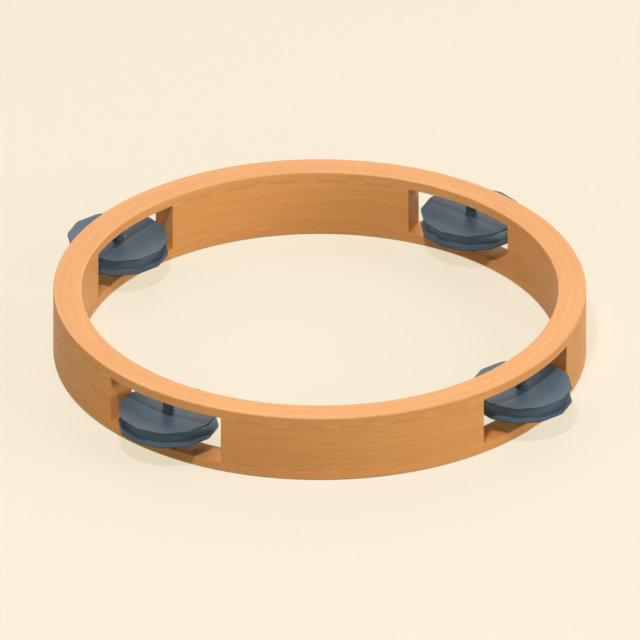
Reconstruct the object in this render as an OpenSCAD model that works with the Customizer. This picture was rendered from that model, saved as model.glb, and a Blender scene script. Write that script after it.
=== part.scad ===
// Headless tambourine: a glued wooden hoop with four slots.
// Each slot holds two dished jingles on a pin that is trapped between the rails.
// Lengths are in mm. The hoop stands on z = 0 around the Z axis, and its slots face +X, +Y, -X and -Y.

/* [Hoop] */
// Outside diameter
hoop_d = 200; // [180:5:260]
// Radial thickness of the wooden wall
wall = 10.6; // [9:0.2:14]
// Height from the rest face to the top face
hoop_h = 26.4; // [24:0.2:36]
// Height of the top rail and of the bottom rail
rail_h = 3.8; // [3.4:0.1:5]
// Angle that each jingle slot takes out of the wall
slot_angle = 30; // [27:1:36]
// Rounding of the edges that a hand touches
edge_round = 0.4; // [0.2:0.1:1.2]
// Eased edge on both sides of each glue line
seam_chamfer = 0.15; // [0.1:0.05:0.5]
// Eased upright edge of a block where it ends at a slot
slot_chamfer = 0.3; // [0.2:0.1:0.8]

/* [Jingles] */
// Diameter of a jingle
jingle_d = 38; // [32:0.5:42]
// Thickness of the sheet metal
sheet = 0.6; // [0.4:0.1:1]
// Rise of the rim above the seat
dish_depth = 1.1; // [0.7:0.1:2]
// Diameter of the flat seat around the hole
seat_d = 9; // [8:0.5:14]
// Radius of the bend between the seat and the sloping dish
bend_r = 8; // [5:1:14]
// Depth that each of the flats takes off the round rim
rim_flat = 0.5; // [0.2:0.05:0.6]
// Eased edge on both sides of the rim
rim_ease = 0.15; // [0.05:0.05:0.2]
// Clear space between the seats of a pair, as the pair is drawn
pair_gap = 3.2; // [2:0.1:4]
// Height of a pair's middle above the slot's middle, as the pair is drawn
pair_lift = 0.7; // [0:0.1:1]

/* [Pins] */
// Diameter of a jingle pin
pin_d = 4; // [3:0.1:4.6]
// Eased edge at both ends of a pin
pin_chamfer = 0.4; // [0.2:0.1:0.6]
// Radial play of a jingle on its pin
jingle_play = 0.35; // [0.2:0.05:0.6]
// Radial play of a pin in its sockets
socket_play = 0.08; // [0.04:0.01:0.1]
// Free space behind each end of a pin
pin_end_play = 0.15; // [0.1:0.05:0.3]
// Wood left between a socket and the outside of its rail
socket_floor = 1.4; // [1:0.1:1.8]

/* [Dowels] */
// Diameter of a locating dowel
dowel_d = 4; // [3:0.1:5]
// Angle from the middle of a block to each of its dowels
dowel_angle = 18; // [12:1:20]
// Eased edge at both ends of a dowel
dowel_chamfer = 0.5; // [0.3:0.1:0.8]
// Radial room for glue around a dowel
glue_room = 0.05; // [0.02:0.01:0.1]
// Free space behind each end of a dowel
dowel_end_room = 0.3; // [0.2:0.1:0.5]

/* [Hidden] */
$fn = 96;
slots = 4;
rim_flats = 12;
slot_turn = 360 / slots;
hoop_r = hoop_d / 2;
bore_r = hoop_r - wall;
pitch_r = hoop_r - wall / 2;
slot_h = hoop_h - 2 * rail_h;
block_angle = slot_turn - slot_angle;
socket_depth = rail_h - socket_floor;
socket_r = pin_d / 2 + socket_play;
dowel_hole_r = dowel_d / 2 + glue_room;
jingle_r = jingle_d / 2;
jingle_hole_r = pin_d / 2 + jingle_play;
dish_run = jingle_r - seat_d / 2;
dish_reach = 2 * bend_r - dish_depth;
dish_slope = 2 * atan((dish_run - sqrt(dish_run * dish_run - dish_depth * dish_reach)) / dish_reach);
rim_half = sheet / 2 / cos(dish_slope);
pair_z = hoop_h / 2 + pair_lift;
seat_z = (pair_gap + sheet) / 2;
wood_light = [0.90, 0.64, 0.38];
wood_warm = [0.84, 0.57, 0.31];
peg_wood = [0.80, 0.66, 0.45];
steel = [0.27, 0.30, 0.33];
blued = [0.33, 0.38, 0.42];
overcut = 1;

// Points of an arc about c that goes on from a point at the first angle
function arc(c, r, from, to, steps = 4) =
    [for (i = [1:steps]) let (a = from + (to - from) * i / steps) c + r * [cos(a), sin(a)]];

// Puts a child on the pin axis of slot k
module at_slot(k) {
    rotate([0, 0, (k - 1) * slot_turn])
        translate([pitch_r, 0, 0])
            children();
}

// Puts a child on both dowel axes of block k
module at_dowels(k) {
    for (side = [-1, 1])
        rotate([0, 0, (k - 1 / 2) * slot_turn + side * dowel_angle])
            translate([pitch_r, 0, 0])
                children();
}

// A round pin of length l from the origin up, with both ends eased
module eased_pin(d, l, chamfer) {
    rotate_extrude()
        polygon([
            [0, 0],
            [d / 2 - chamfer, 0],
            [d / 2, chamfer],
            [d / 2, l - chamfer],
            [d / 2 - chamfer, l],
            [0, l]
        ]);
}

// A square bar on the Z axis, turned to cut an edge on that axis at 45 degrees
module chamfer_bar(chamfer, l) {
    side = chamfer * sqrt(2);
    rotate([0, 0, 45])
        cube([side, side, l], center = true);
}

// Section of the bottom rail: rounded below, eased along the glue line above
module rail_section() {
    translate([bore_r, edge_round])
        square([wall, rail_h - edge_round - seam_chamfer]);
    translate([bore_r + edge_round, 0])
        square([wall - 2 * edge_round, rail_h / 2]);
    for (r = [bore_r + edge_round, hoop_r - edge_round])
        translate([r, edge_round])
            circle(edge_round);
    translate([0, rail_h - seam_chamfer])
        polygon([
            [bore_r, 0],
            [hoop_r, 0],
            [hoop_r - seam_chamfer, seam_chamfer],
            [bore_r + seam_chamfer, seam_chamfer]
        ]);
}

// Section of a block: a rectangle with its four glue-line edges eased
module block_section() {
    polygon([
        [bore_r + seam_chamfer, rail_h],
        [hoop_r - seam_chamfer, rail_h],
        [hoop_r, rail_h + seam_chamfer],
        [hoop_r, hoop_h - rail_h - seam_chamfer],
        [hoop_r - seam_chamfer, hoop_h - rail_h],
        [bore_r + seam_chamfer, hoop_h - rail_h],
        [bore_r, hoop_h - rail_h - seam_chamfer],
        [bore_r, rail_h + seam_chamfer]
    ]);
}

// Blind holes in a rail that lies with its glue face at rail_h
module rail_holes() {
    for (k = [1:slots]) {
        at_slot(k)
            translate([0, 0, socket_floor])
                cylinder(r = socket_r, h = socket_depth + overcut);
        at_dowels(k)
            translate([0, 0, socket_floor])
                cylinder(r = dowel_hole_r, h = socket_depth + overcut);
    }
}

module rail() {
    difference() {
        rotate_extrude()
            rail_section();
        rail_holes();
    }
}

// Half section of a jingle, hollow side up, with the middle of its seat at height 0.
// A flat seat bends up into one straight slope, which ends in an eased rim at the dish's full depth.
module jingle_section() {
    half = sheet / 2;
    seat_r = seat_d / 2;
    bend = [seat_r, bend_r];
    ease_drop = rim_ease * tan(dish_slope);
    polygon(concat(
        [[jingle_hole_r, -half], [seat_r, -half]],
        arc(bend, bend_r + half, -90, -90 + dish_slope),
        [
            [jingle_r - rim_ease, dish_depth - rim_half - ease_drop],
            [jingle_r, dish_depth - rim_half + rim_ease],
            [jingle_r, dish_depth + rim_half - rim_ease],
            [jingle_r - rim_ease, dish_depth + rim_half - ease_drop],
            [seat_r + (bend_r - half) * sin(dish_slope), bend_r - (bend_r - half) * cos(dish_slope)]
        ],
        arc(bend, bend_r - half, -90 + dish_slope, -90),
        [[jingle_hole_r, half]]
    ));
}

// Bars that ease both edges of each flat on the rim
module rim_edges() {
    flat_r = jingle_r - rim_flat;
    flat_l = 2 * flat_r * tan(180 / rim_flats);
    middle = dish_depth - rim_flat * tan(dish_slope);
    for (i = [1:rim_flats], z = [middle - rim_half, middle + rim_half])
        rotate([0, 0, (i - 1 / 2) * 360 / rim_flats])
            translate([flat_r, 0, z])
                rotate([90, 0, 0])
                    chamfer_bar(rim_ease, flat_l);
}

// A dished sheet with its rim trimmed to flats that leave the corners round
module jingle() {
    trim_r = (jingle_r - rim_flat) / cos(180 / rim_flats);
    difference() {
        intersection() {
            rotate_extrude()
                jingle_section();
            cylinder(r = trim_r, h = 4 * (dish_depth + sheet), center = true, $fn = rim_flats);
        }
        rim_edges();
    }
}

module top_rail() {
    color(wood_light)
        translate([0, 0, hoop_h])
            mirror([0, 0, 1])
                rail();
}

module bottom_rail() {
    color(wood_light)
        rail();
}

// Bars that ease the upright edges of a block that starts at angle 0
module block_edges() {
    for (a = [0, block_angle], r = [bore_r, hoop_r])
        rotate([0, 0, a])
            translate([r, 0, hoop_h / 2])
                chamfer_bar(slot_chamfer, hoop_h);
}

module block(k) {
    color(wood_warm)
        difference() {
            rotate([0, 0, (k - 1) * slot_turn + slot_angle / 2])
                difference() {
                    rotate_extrude(angle = block_angle)
                        block_section();
                    block_edges();
                }
            at_dowels(k)
                translate([0, 0, rail_h - overcut])
                    cylinder(r = dowel_hole_r, h = slot_h + 2 * overcut);
        }
}

module block_dowels(k) {
    color(peg_wood)
        at_dowels(k)
            translate([0, 0, socket_floor + dowel_end_room])
                eased_pin(dowel_d, hoop_h - 2 * (socket_floor + dowel_end_room), dowel_chamfer);
}

module pin(k) {
    color(steel)
        at_slot(k)
            translate([0, 0, socket_floor + pin_end_play])
                eased_pin(pin_d, hoop_h - 2 * (socket_floor + pin_end_play), pin_chamfer);
}

module upper_jingle(k) {
    color(blued)
        at_slot(k)
            translate([0, 0, pair_z + seat_z])
                jingle();
}

module lower_jingle(k) {
    color(blued)
        at_slot(k)
            translate([0, 0, pair_z - seat_z])
                rotate([180, 0, 0])
                    jingle();
}

top_rail();
bottom_rail();
block(1);  // block_1
block(2);  // block_2
block(3);  // block_3
block(4);  // block_4
block_dowels(1);  // block_dowels_1
block_dowels(2);  // block_dowels_2
block_dowels(3);  // block_dowels_3
block_dowels(4);  // block_dowels_4
pin(1);  // pin_1
pin(2);  // pin_2
pin(3);  // pin_3
pin(4);  // pin_4
upper_jingle(1);  // upper_jingle_1
upper_jingle(2);  // upper_jingle_2
upper_jingle(3);  // upper_jingle_3
upper_jingle(4);  // upper_jingle_4
lower_jingle(1);  // lower_jingle_1
lower_jingle(2);  // lower_jingle_2
lower_jingle(3);  // lower_jingle_3
lower_jingle(4);  // lower_jingle_4
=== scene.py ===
"""Looks of the headless tambourine: a varnished wooden hoop with blued steel jingles on trapped pins."""

import math
import random

import bpy
import numpy as np
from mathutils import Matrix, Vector


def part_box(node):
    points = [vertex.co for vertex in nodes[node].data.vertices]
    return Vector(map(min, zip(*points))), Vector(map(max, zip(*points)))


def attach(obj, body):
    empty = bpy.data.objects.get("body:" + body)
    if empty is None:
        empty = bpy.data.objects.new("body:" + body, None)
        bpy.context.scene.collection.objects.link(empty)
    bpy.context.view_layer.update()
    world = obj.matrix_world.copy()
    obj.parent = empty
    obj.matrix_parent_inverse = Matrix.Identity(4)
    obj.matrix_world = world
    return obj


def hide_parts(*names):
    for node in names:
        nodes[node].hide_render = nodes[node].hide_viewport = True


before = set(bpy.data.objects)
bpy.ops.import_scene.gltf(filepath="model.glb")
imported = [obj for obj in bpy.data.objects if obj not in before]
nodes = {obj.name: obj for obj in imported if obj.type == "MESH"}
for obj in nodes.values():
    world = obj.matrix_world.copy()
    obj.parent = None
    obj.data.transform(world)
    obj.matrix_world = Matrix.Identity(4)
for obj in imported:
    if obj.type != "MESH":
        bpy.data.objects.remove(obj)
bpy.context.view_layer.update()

MM = 0.001

# Sizes of the hoop, in millimetres
HOOP_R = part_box("bottom_rail")[1].x / MM
HOOP_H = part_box("top_rail")[1].z / MM
RAIL_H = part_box("bottom_rail")[1].z / MM
WALL = 10.6
BORE_R = HOOP_R - WALL
SEAMS = (RAIL_H, HOOP_H - RAIL_H)
SLOTS = 4

# Sizes of a jingle that its box doesn't give, in millimetres
SHEET = 0.6
SEAT_R = 4.5
BEND_R = 8.0
HOLE_R = 2.35
RIM_EASE = 0.15
RIM_FLATS = 12
RIM_FLAT = 0.5

# Mesh steps of a jingle: round it, and along each stretch of its section
ROUND_STEPS = 240
SEAT_STEPS = 4
BEND_STEPS = 6
SLOPE_STEPS = 11
EASE_STEPS = 4
SHARP_ANGLE = math.radians(40)

# Share of a jingle's radius beyond which the dish follows the flats of the rim
FLATS_FROM = 0.55

# Hammer marks on a jingle: their count, the shares of its area that they lie between, and their
# least and greatest radius and depth in millimetres
HAMMER_MARKS = 60
HAMMER_SPREAD = (0.15, 0.80)
HAMMER_SIZE = (1.4, 2.6)
HAMMER_DEPTH = (0.01, 0.03)

# Colours of the wood, linear
WOOD_PALE = (0.86, 0.398, 0.125)
WOOD_DARK = (0.76, 0.330, 0.094)
WOOD_PORE = (0.48, 0.184, 0.042)
# Dark for end grain, and also painted shade along the joints
WOOD_END_AND_JOINT_SHADE = (0.60, 0.235, 0.050)
# Pale for edges worn by hands, and also painted highlight dashes along the joints
WOOD_WORN_AND_HIGHLIGHT = (0.87, 0.460, 0.155)
PLAIN_TINT = (1.0, 1.0, 1.0)
# Painted sheen: the top rail is tinted whiter, standing in for the sheen on the hoop's top face
TOP_SHEEN_TINT = (1.0, 1.005, 1.10)
DOWEL_TINT = (1.1, 1.1, 1.1)
BLOCK_TONES = (0.97, 1.02, 1.02, 0.98)

# How far each feature of the wood shows, from 0 to 1, with the painted highlight dashes of the lower and
# the upper joint
LATE_SHARE = 0.30
FIBRE_SHARE = 0.36
BROAD_SHARE = 0.34
PORE_SHARE = 0.30
END_SHARE = 0.2
# The joints' dark line is partly painted shade
JOINT_LINE_AND_SHADE_SHARE = 0.6
WORN_AND_HIGHLIGHT_SHARE = 0.6
JOINT_HIGHLIGHT_SHARES = (0.35, 0.9)
JOINT_HIGHLIGHT_DASHES = 32

# Growth rings to a millimetre across the wall and up it, and how many rings they wander
RINGS_ACROSS = 0.30
RINGS_UP = 0.21
RING_WANDER = 2.6

# Colours of the blued steel and of the pins, linear
STEEL_DARK = (0.084, 0.127, 0.168)
STEEL_PALE = (0.096, 0.138, 0.178)
STEEL_SPUN = (0.112, 0.158, 0.200)
# Painted light for the facing convex faces of a pair, which offsets the shade in the gap between them
STEEL_GAP_LIGHT = (0.43, 0.56, 0.64)
STEEL_SPECK = (0.055, 0.070, 0.085)
# Painted shade for the sideways faces at the rim and the hole
STEEL_EDGE_SHADE = (0.045, 0.065, 0.085)
PIN_DARK = (0.080, 0.118, 0.145)
PIN_PALE = (0.110, 0.150, 0.175)
PIN_STAIN = (0.085, 0.080, 0.075)

# Spun lines to a millimetre, and how much they change on the way round a jingle
SPUN_LINES = 5.0
SPUN_CHANGE = 1.2

# How strongly each pair's convex faces are painted paler to offset the shade in the gap between its two
# jingles, and the radii in millimetres where that starts and is full
PAIR_GAP_LIGHT = (0.62, 1.0, 0.66, 0.88)
GAP_LIGHT_START_R = 17.6
GAP_LIGHT_FULL_R = 12.5

# The floor and the backdrop beyond it: colours, linear, and the floor's place and reach in metres
BACKDROP = (0.965, 0.871, 0.708)
FLOOR_GLOW = (1.0, 0.870, 0.651)
FLOOR_LIT = (0.81, 0.81, 0.81)
FLOOR_BOUNCE = (0.22, 0.20, 0.17)
FLOOR_HALF = 12.0
FLOOR_Z = -0.05 * MM
# How much of the seen floor is glow, and how far and within what reach a painted contact shadow darkens
# it near what touches it
GLOW_SHARE = 0.74
CONTACT_SHADOW_DARK = 0.42
CONTACT_SHADOW_REACH = 11 * MM

# The light of the room: its strength at the horizon and overhead, and the rise at which each is reached
AMBIENT = (1.0, 0.985, 0.96)
HORIZON = 0.52
ZENITH = 0.0
HORIZON_RISE = 0.2
ZENITH_RISE = 0.75

# The photograph's view, with distances in metres
AZIMUTH = math.radians(36.87)
ELEVATION = math.radians(29.2)
PX_PER_MM = 2.665
IMAGE_PX = 640
HOOP_CENTRE_PX = (319.73, 319.5)
CAMERA_DISTANCE = 1.2
CAMERA_REACH = 100

# Directions as the photograph's viewer sees them, and the middle of the hoop
UP = Vector((0, 0, 1))
IMAGE_RIGHT = Vector((math.cos(AZIMUTH), math.sin(AZIMUTH), 0))
TOWARD_CAMERA = Vector((math.sin(AZIMUTH), -math.cos(AZIMUTH), 0))
CENTRE = UP * (HOOP_H / 2 * MM)


class Nodes:
    """The node tree of a material or a world, put together by short calls."""

    def __init__(self, owner):
        owner.use_nodes = True
        self.owner = owner
        self.tree = owner.node_tree
        self.tree.nodes.clear()

    def put(self, socket, value):
        if isinstance(value, bpy.types.NodeSocket):
            self.tree.links.new(value, socket)
        else:
            socket.default_value = value

    def node(self, kind, inputs=None, **settings):
        made = self.tree.nodes.new(kind)
        for key, value in settings.items():
            setattr(made, key, value)
        for key, value in (inputs or {}).items():
            self.put(made.inputs[key], value)
        return made

    def math(self, operation, a, b=0.0):
        return self.node("ShaderNodeMath", {0: a, 1: b}, operation=operation).outputs[0]

    def add(self, a, b):
        return self.math("ADD", a, b)

    def times(self, a, b):
        return self.math("MULTIPLY", a, b)

    def length(self, a, b):
        return self.math("SQRT", self.add(self.times(a, a), self.times(b, b)))

    def remap(self, value, low, high, to_low=0.0, to_high=1.0, curve="SMOOTHSTEP"):
        """Carries low..high to to_low..to_high, and stays inside."""
        ends = {"From Min": low, "From Max": high, "To Min": to_low, "To Max": to_high}
        made = self.node("ShaderNodeMapRange", {"Value": value, **ends}, interpolation_type=curve)
        return made.outputs["Result"]

    def mix(self, share, a, b, blend="MIX"):
        """Mixes two colours, which are inputs 6 and 7 and output 2 of the node."""
        made = self.node("ShaderNodeMix", {0: share}, data_type="RGBA", blend_type=blend)
        for index, colour in ((6, a), (7, b)):
            linked = isinstance(colour, bpy.types.NodeSocket)
            self.put(made.inputs[index], colour if linked else (*colour, 1))
        return made.outputs[2]

    def vector(self, x, y, z):
        return self.node("ShaderNodeCombineXYZ", {0: x, 1: y, 2: z}).outputs[0]

    def noise(self, vector, w, detail=2.0, roughness=0.5):
        look = {"Scale": 1.0, "Detail": detail, "Roughness": roughness}
        made = self.node("ShaderNodeTexNoise", {"Vector": vector, "W": w, **look}, noise_dimensions="4D")
        return made.outputs["Fac"]

    def bump(self, height, strength, depth):
        """A normal that follows height, with that depth in millimetres."""
        inputs = {"Strength": strength, "Distance": depth * MM, "Height": height}
        return self.node("ShaderNodeBump", inputs).outputs[0]

    def place(self):
        """The object's own x, y and z, in millimetres."""
        coord = self.node("ShaderNodeTexCoord").outputs["Object"]
        scaled = self.node("ShaderNodeVectorMath", {0: coord, 1: (1 / MM,) * 3}, operation="MULTIPLY")
        return self.node("ShaderNodeSeparateXYZ", {0: scaled.outputs[0]}).outputs

    def polar(self):
        """Radius, cosine, sine and height about the object's own Z axis, in millimetres."""
        x, y, z = self.place()
        r = self.length(x, y)
        safe = self.math("MAXIMUM", r, 0.001)
        return r, self.math("DIVIDE", x, safe), self.math("DIVIDE", y, safe), z

    def normal(self):
        return self.node("ShaderNodeTexCoord").outputs["Normal"]

    def background_rays(self):
        """1 on rays that show the background: from the camera, mirrored or through glass."""
        path = self.node("ShaderNodeLightPath").outputs
        mirrored = self.math("MAXIMUM", path["Is Glossy Ray"], path["Is Transmission Ray"])
        return self.math("MAXIMUM", path["Is Camera Ray"], mirrored)

    def shader(self, kind, inputs):
        return self.node(kind, inputs).outputs[0]

    def choose(self, share, a, b):
        return self.shader("ShaderNodeMixShader", {0: share, 1: a, 2: b})

    def finish(self, shader, output="ShaderNodeOutputMaterial"):
        self.node(output, {"Surface": shader})
        return self.owner

    def principled(self, **inputs):
        named = {key.replace("_", " "): value for key, value in inputs.items()}
        return self.finish(self.shader("ShaderNodeBsdfPrincipled", named))


def wood(name, seed, tint=PLAIN_TINT, edges=(), seams=()):
    """Varnished wood whose grain runs round the hoop.

    edges are the (radius, height) of edges worn by hands, and seams the heights of joints that get
    painted highlight dashes and a dark line which is partly painted shade.
    """
    m = Nodes(bpy.data.materials.new(name))
    r, cosine, sine, z = m.polar()

    def grain(width, length, detail=2.0, roughness=0.5):
        """Noise with streaks of that width and length, in millimetres, along the hoop."""
        across, along = 1 / width, HOOP_R / length
        vector = m.vector(m.add(m.times(r, across), seed), m.times(z, across), m.times(cosine, along))
        return m.noise(vector, m.add(m.times(sine, along), seed), detail, roughness)

    broad = grain(width=9, length=80)
    wander = grain(width=6, length=60, detail=1.0)
    fibre = grain(width=0.6, length=22, detail=3.0, roughness=0.6)
    pores = m.remap(grain(width=0.22, length=4.5, detail=1.0), 0.66, 0.74)
    patches = grain(width=2.2, length=22, detail=3.0)

    # Growth rings cut at a slant, so that they show on the walls and on the rails' faces
    ring = m.add(m.times(r, RINGS_ACROSS), m.times(z, RINGS_UP))
    ring = m.math("FRACT", m.add(ring, m.times(wander, RING_WANDER)))
    late = m.times(m.remap(ring, 0.25, 0.86), m.remap(ring, 1.0, 0.9))

    shade = m.add(m.times(late, LATE_SHARE), m.times(m.remap(fibre, 0.3, 0.75), FIBRE_SHARE))
    shade = m.add(shade, m.times(m.remap(broad, 0.3, 0.7), BROAD_SHARE))
    colour = m.mix(shade, WOOD_PALE, WOOD_DARK)
    colour = m.mix(m.times(pores, PORE_SHARE), colour, WOOD_PORE)

    # End grain on the slot ends drinks more varnish
    around = m.vector(m.times(sine, -1.0), cosine, 0.0)
    facing = m.node("ShaderNodeVectorMath", {0: m.normal(), 1: around}, operation="DOT_PRODUCT")
    end_grain = m.remap(m.math("ABSOLUTE", facing.outputs["Value"]), 0.75, 0.95)
    colour = m.mix(m.times(end_grain, END_SHARE), colour, WOOD_END_AND_JOINT_SHADE)

    # Edges that hands have rubbed paler
    worn_and_highlight = 0.0
    for edge_r, edge_z in edges:
        away = m.length(m.add(r, -edge_r), m.add(z, -edge_z))
        worn_and_highlight = m.add(worn_and_highlight, m.remap(away, 0.9, 0.2))
    worn_and_highlight = m.times(worn_and_highlight, m.remap(patches, 0.34, 0.62, 0.25, 1.0))

    # Painted highlights in pale dashes along the fine joints, more at the upper joint; between the
    # dashes each joint is a dark line, which is also painted shade that hides the highlight on the
    # joint's small chamfers
    turns = m.times(m.math("ARCTAN2", sine, cosine), JOINT_HIGHLIGHT_DASHES)
    dash = m.remap(m.math("COSINE", turns), -0.35, -0.75)
    for seam_z in seams:
        off_seam = m.math("ABSOLUTE", m.add(z, -seam_z))
        joint_line_and_shade = m.times(m.remap(off_seam, 0.22, 0.12), m.math("SUBTRACT", 1.0, dash))
        colour = m.mix(m.times(joint_line_and_shade, JOINT_LINE_AND_SHADE_SHARE), colour, WOOD_END_AND_JOINT_SHADE)
        joint_highlight = m.times(m.remap(off_seam, 0.5, 0.2), dash)
        worn_and_highlight = m.add(worn_and_highlight, m.times(joint_highlight, JOINT_HIGHLIGHT_SHARES[SEAMS.index(seam_z)]))
    colour = m.mix(m.times(m.math("MINIMUM", worn_and_highlight, 1.0), WORN_AND_HIGHLIGHT_SHARE), colour, WOOD_WORN_AND_HIGHLIGHT)
    colour = m.mix(1.0, colour, tint, "MULTIPLY")

    height = m.add(m.times(fibre, 0.6), m.times(late, 0.25))
    height = m.math("SUBTRACT", height, m.times(pores, 0.7))
    return m.principled(
        Base_Color=colour,
        Roughness=m.add(m.remap(fibre, 0.25, 0.75, 0.42, 0.52), m.times(pores, 0.15)),
        Normal=m.bump(height, strength=0.25, depth=0.05),
        Specular_IOR_Level=0.13,
        Coat_Weight=0.08,
        Coat_Roughness=0.35,
    )


def jingle_metal(name, seed, gap_light_share):
    """Blued sheet steel with fine spun lines, cloudy tempering and a few dark specks.

    The last argument says how far the convex faces are painted paler, to offset the shade in the gap
    between the pair.
    """
    m = Nodes(bpy.data.materials.new(name))
    x, y, z = m.place()
    r, cosine, sine, _ = m.polar()

    def mottle(size, shift, detail):
        """Noise with blots of that size, in millimetres."""
        vector = m.vector(m.times(x, 1 / size), m.times(y, 1 / size), m.times(z, 1 / size))
        return m.noise(vector, seed + shift, detail)

    spun = m.vector(m.times(r, SPUN_LINES), seed, m.times(cosine, SPUN_CHANGE))
    spun = m.noise(spun, m.times(sine, SPUN_CHANGE), 3.0, 0.6)
    cloud = mottle(size=6.5, shift=0.0, detail=4.0)
    speck = mottle(size=0.7, shift=7.0, detail=2.0)

    colour = m.mix(m.remap(cloud, 0.3, 0.7), STEEL_DARK, STEEL_PALE)
    colour = m.mix(m.times(m.remap(spun, 0.35, 0.7), 0.25), colour, STEEL_SPUN)

    # Painted light: the convex faces of a pair face each other across a narrow gap, so they are painted
    # paler away from the rim to offset the shade there
    upward = m.node("ShaderNodeSeparateXYZ", {0: m.normal()}).outputs["Z"]
    gap_light = m.times(m.remap(upward, -0.6, -0.9), m.remap(r, GAP_LIGHT_START_R, GAP_LIGHT_FULL_R, 0.0, gap_light_share))
    colour = m.mix(m.times(gap_light, m.remap(cloud, 0.25, 0.75, 1.0, 0.8)), colour, STEEL_GAP_LIGHT)
    colour = m.mix(m.times(m.remap(speck, 0.64, 0.74), 0.45), colour, STEEL_SPECK)

    # Painted shade: faces that point sideways, at the rim and at the hole, are painted dark
    edge_shade = m.remap(m.math("ABSOLUTE", upward), 0.8, 0.5)
    colour = m.mix(m.times(edge_shade, m.remap(cloud, 0.3, 0.7, 0.95, 0.75)), colour, STEEL_EDGE_SHADE)

    rough = m.remap(spun, 0.3, 0.7, 0.44, 0.54)
    return m.principled(
        Base_Color=colour,
        Metallic=0.1,
        Roughness=m.add(rough, m.times(m.remap(speck, 0.6, 0.75), 0.12)),
        Specular_IOR_Level=0.18,
        Normal=m.bump(spun, strength=0.2, depth=0.02),
    )


def pin_steel(name, seed):
    """Dark drawn steel with fine turning lines and a little tarnish."""
    m = Nodes(bpy.data.materials.new(name))
    x, y, z = m.place()

    def marks(across, along, shift):
        """Noise with that many marks to a millimetre across the pin and along it."""
        vector = m.vector(m.times(x, across), m.times(y, across), m.times(z, along))
        return m.noise(vector, seed + shift, 3.0)

    lines = marks(across=0.3, along=6.0, shift=0)
    stain = marks(across=0.7, along=0.35, shift=3)
    colour = m.mix(m.remap(lines, 0.3, 0.7), PIN_DARK, PIN_PALE)
    return m.principled(
        Base_Color=m.mix(m.times(m.remap(stain, 0.55, 0.75), 0.4), colour, PIN_STAIN),
        Metallic=0.35,
        Roughness=m.remap(stain, 0.3, 0.7, 0.36, 0.5),
        Normal=m.bump(lines, strength=0.2, depth=0.03),
    )


def floor_paper():
    """Pale paper that shows the object's shadow faintly, and darkly where pieces touch it."""
    m = Nodes(bpy.data.materials.new("floor_paper"))
    open_sky = m.node("ShaderNodeAmbientOcclusion", {"Distance": CONTACT_SHADOW_REACH}, samples=12).outputs["AO"]
    # Painted contact shadow: the glow is darkened where nearby pieces block the sky
    contact_shadow = m.remap(open_sky, 0.14, 0.52, CONTACT_SHADOW_DARK, 1.0)
    glow = m.shader("ShaderNodeEmission", {"Color": (*FLOOR_GLOW, 1), "Strength": contact_shadow})
    paper = m.shader("ShaderNodeBsdfDiffuse", {"Color": (*FLOOR_LIT, 1)})
    bounce = m.shader("ShaderNodeBsdfDiffuse", {"Color": (*FLOOR_BOUNCE, 1)})
    return m.finish(m.choose(m.background_rays(), bounce, m.choose(GLOW_SHARE, paper, glow)))


def room_light():
    """Light that is brighter toward the horizon, so that it reaches in between the jingles."""
    m = Nodes(bpy.data.worlds.new("studio"))
    direction = m.node("ShaderNodeTexCoord").outputs["Generated"]
    rise = m.node("ShaderNodeSeparateXYZ", {0: direction}).outputs["Z"]
    strength = m.remap(rise, HORIZON_RISE, ZENITH_RISE, HORIZON, ZENITH, "LINEAR")
    ambient = m.shader("ShaderNodeBackground", {"Color": (*AMBIENT, 1), "Strength": strength})
    backdrop = m.shader("ShaderNodeBackground", {"Color": (*BACKDROP, 1)})
    return m.finish(m.choose(m.background_rays(), ambient, backdrop), "ShaderNodeOutputWorld")


def sheet_outline(radius, dish):
    """Closed section of a dished sheet, hollow side up, as rows of (radius, height)."""
    half = SHEET / 2
    run = radius - SEAT_R
    reach = 2 * BEND_R - dish
    slope = 2 * math.atan((run - math.sqrt(run * run - dish * reach)) / reach)
    sine, cosine = math.sin(slope), math.cos(slope)

    # The sheet's middle line from the hole to where the rim is eased, as (radius, height, lean)
    line = [(HOLE_R + (SEAT_R - HOLE_R) * i / SEAT_STEPS, 0.0, 0.0) for i in range(SEAT_STEPS)]
    for lean in np.linspace(0, slope, BEND_STEPS + 1):
        line.append((SEAT_R + BEND_R * math.sin(lean), BEND_R * (1 - math.cos(lean)), lean))
    end_r = radius - half * sine
    end_h = dish - half * sine * math.tan(slope)
    start_r, start_h, _ = line[-1]
    for t in np.linspace(0, 1, SLOPE_STEPS + 1)[1:]:
        line.append((
            start_r + (end_r - RIM_EASE * cosine - start_r) * t,
            start_h + (end_h - RIM_EASE * sine - start_h) * t,
            slope,
        ))
    top = [(r - half * math.sin(lean), h + half * math.cos(lean)) for r, h, lean in line]
    low = [(r + half * math.sin(lean), h - half * math.cos(lean)) for r, h, lean in line]

    quarter = [math.radians(90 * i / EASE_STEPS) for i in range(1, EASE_STEPS + 1)]
    rim = []
    for side, turns in ((1, quarter), (-1, quarter[::-1])):
        for turn in turns:
            along = RIM_EASE * (math.sin(turn) - 1)
            across = side * (half - RIM_EASE + RIM_EASE * math.cos(turn))
            rim.append((end_r + along * cosine - across * sine, end_h + along * sine + across * cosine))
    return np.array(top + rim + low[::-1])


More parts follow.
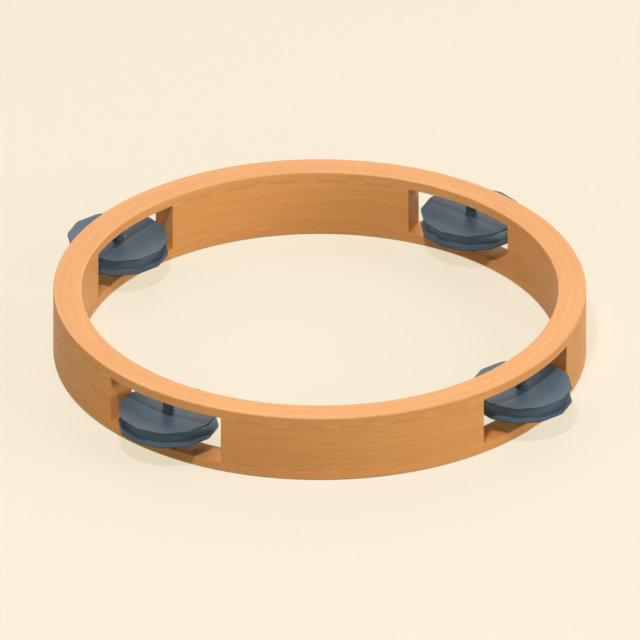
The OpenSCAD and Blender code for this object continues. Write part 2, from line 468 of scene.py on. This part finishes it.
def jingle_mesh(name, radius, dish, seed):
    """A dished sheet with its seat at height 0, its rim trimmed to soft flats, lightly hammered."""
    draw = random.Random(seed)
    outline = sheet_outline(radius, dish)
    turn = np.linspace(0, 2 * math.pi, ROUND_STEPS, endpoint=False)
    r = np.repeat(outline[:, :1], ROUND_STEPS, axis=1)
    h = np.repeat(outline[:, 1:], ROUND_STEPS, axis=1)

    # Flats trim the rim, and the dish follows them less and less toward the seat
    sector = 2 * math.pi / RIM_FLATS
    off_flat = np.abs(turn % sector - sector / 2)
    trim = np.minimum(1.0, (1 - RIM_FLAT / radius) / np.cos(off_flat))
    follow = np.clip((r - FLATS_FROM * radius) / ((1 - FLATS_FROM) * radius), 0, 1) ** 2
    r = r * (1 - follow * (1 - trim))
    x, y = r * np.cos(turn), r * np.sin(turn)

    # Hammer marks, on both faces alike
    for _ in range(HAMMER_MARKS):
        angle = draw.uniform(0, 2 * math.pi)
        at = math.sqrt(draw.uniform(*HAMMER_SPREAD)) * radius
        size, depth = draw.uniform(*HAMMER_SIZE), draw.uniform(*HAMMER_DEPTH)
        gap = ((x - at * math.cos(angle)) ** 2 + (y - at * math.sin(angle)) ** 2) / size ** 2
        h = h - depth * np.clip(1 - gap, 0, 1) ** 2

    rows = len(outline)
    points = np.stack([x, y, h], axis=-1).reshape(-1, 3) * MM
    faces = []
    for i in range(rows):
        row, next_row = i * ROUND_STEPS, (i + 1) % rows * ROUND_STEPS
        for j in range(ROUND_STEPS):
            k = (j + 1) % ROUND_STEPS
            faces.append((row + j, next_row + j, next_row + k, row + k))
    mesh = bpy.data.meshes.new(name)
    mesh.from_pydata(points.tolist(), [], faces)
    mesh.validate()
    mesh.polygons.foreach_set("use_smooth", [True] * len(mesh.polygons))
    mesh.set_sharp_from_angle(angle=SHARP_ANGLE)
    return mesh


def add_object(name, data):
    made = bpy.data.objects.new(name, data)
    bpy.context.scene.collection.objects.link(made)
    return made


def add_jingle(node, seed, gap_light_share, turned_over):
    """A finer jingle in place of the node's solid, with its size and place from the solid's box."""
    low, high = (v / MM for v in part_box(node))
    radius = (high.x - low.x) / 2
    dish = high.z - low.z - SHEET
    mesh = jingle_mesh(node + "_skin", radius, dish, seed)
    piece = add_object(node + "_skin", mesh)
    seat = high.z - SHEET / 2 if turned_over else low.z + SHEET / 2
    piece.location = Vector(((low.x + high.x) / 2, (low.y + high.y) / 2, seat)) * MM
    piece.rotation_euler.x = math.pi if turned_over else 0
    mesh.materials.append(jingle_metal(node + "_metal", seed, gap_light_share))
    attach(piece, node)
    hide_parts(node)


def add_floor():
    corners = [(-1, -1), (1, -1), (1, 1), (-1, 1)]
    mesh = bpy.data.meshes.new("floor")
    mesh.from_pydata([(x * FLOOR_HALF, y * FLOOR_HALF, FLOOR_Z) for x, y in corners], [], [(0, 1, 2, 3)])
    mesh.materials.append(floor_paper())
    add_object("floor", mesh)


def add_lamp(name, right, front, up, size, watts):
    """A round lamp that faces the hoop, in metres from its middle as the photograph's viewer sees it."""
    lamp = bpy.data.lights.new(name, "AREA")
    lamp.shape = "DISK"
    lamp.size = size
    lamp.energy = watts
    piece = add_object(name, lamp)
    piece.location = CENTRE + IMAGE_RIGHT * right + TOWARD_CAMERA * front + UP * up
    piece.rotation_euler = (CENTRE - piece.location).to_track_quat("-Z", "Y").to_euler()


def add_camera():
    """A camera without perspective that frames the hoop as the photograph does."""
    data = bpy.data.cameras.new("camera")
    data.type = "ORTHO"
    data.ortho_scale = IMAGE_PX / PX_PER_MM * MM
    data.clip_end = CAMERA_REACH
    camera = add_object("camera", data)
    sight = TOWARD_CAMERA * math.cos(ELEVATION) + UP * math.sin(ELEVATION)
    image_up = UP * math.cos(ELEVATION) - TOWARD_CAMERA * math.sin(ELEVATION)
    off_right, off_down = ((IMAGE_PX / 2 - px) / PX_PER_MM * MM for px in HOOP_CENTRE_PX)
    aim = CENTRE + IMAGE_RIGHT * off_right - image_up * off_down
    camera.location = aim + sight * CAMERA_DISTANCE
    camera.rotation_euler = sight.to_track_quat("Z", "Y").to_euler()
    bpy.context.scene.camera = camera


def dress(node, material):
    mesh = nodes[node].data
    mesh.materials.clear()
    mesh.materials.append(material)


def rail_edges(z):
    """The outer and the inner edge of a rail's face at that height."""
    return (HOOP_R, z), (BORE_R, z)


# The pieces, each with a number of its own that seeds its grain and marks
dress("top_rail", wood("top_rail_wood", 3.1, TOP_SHEEN_TINT, rail_edges(HOOP_H), SEAMS[1:]))
dress("bottom_rail", wood("bottom_rail_wood", 11.7, PLAIN_TINT, rail_edges(0.0), SEAMS[:1]))
for k, tone, gap_light_share in zip(range(1, SLOTS + 1), BLOCK_TONES, PAIR_GAP_LIGHT):
    dress(f"block_{k}", wood(f"block_{k}_wood", 20 + 5.3 * k, (tone, tone, tone), seams=SEAMS))
    dress(f"block_dowels_{k}", wood(f"dowel_{k}_wood", 50 + 3.1 * k, DOWEL_TINT))
    dress(f"pin_{k}", pin_steel(f"pin_{k}_steel", 60 + k))
    add_jingle(f"upper_jingle_{k}", 100 + k, gap_light_share, turned_over=False)
    add_jingle(f"lower_jingle_{k}", 200 + k, gap_light_share, turned_over=True)

# The studio
add_floor()
bpy.context.scene.world = room_light()
add_lamp("key", right=-0.12, front=0.77, up=1.37, size=0.18, watts=12.8)
add_lamp("side", right=1.45, front=0.30, up=0.98, size=0.9, watts=6.3)
add_lamp("right_low", right=1.70, front=0.40, up=0.55, size=0.6, watts=9.7)
add_lamp("left", right=-1.45, front=0.20, up=0.98, size=0.9, watts=2.2)
add_lamp("low_front", right=0.0, front=1.70, up=0.55, size=0.6, watts=2.4)
add_lamp("back_key", right=0.2, front=-0.90, up=1.30, size=0.2, watts=1.0)
add_lamp("back_panel", right=0.0, front=-1.85, up=1.2, size=2.2, watts=21.0)
add_camera()
bpy.context.scene.view_settings.view_transform = "Standard"
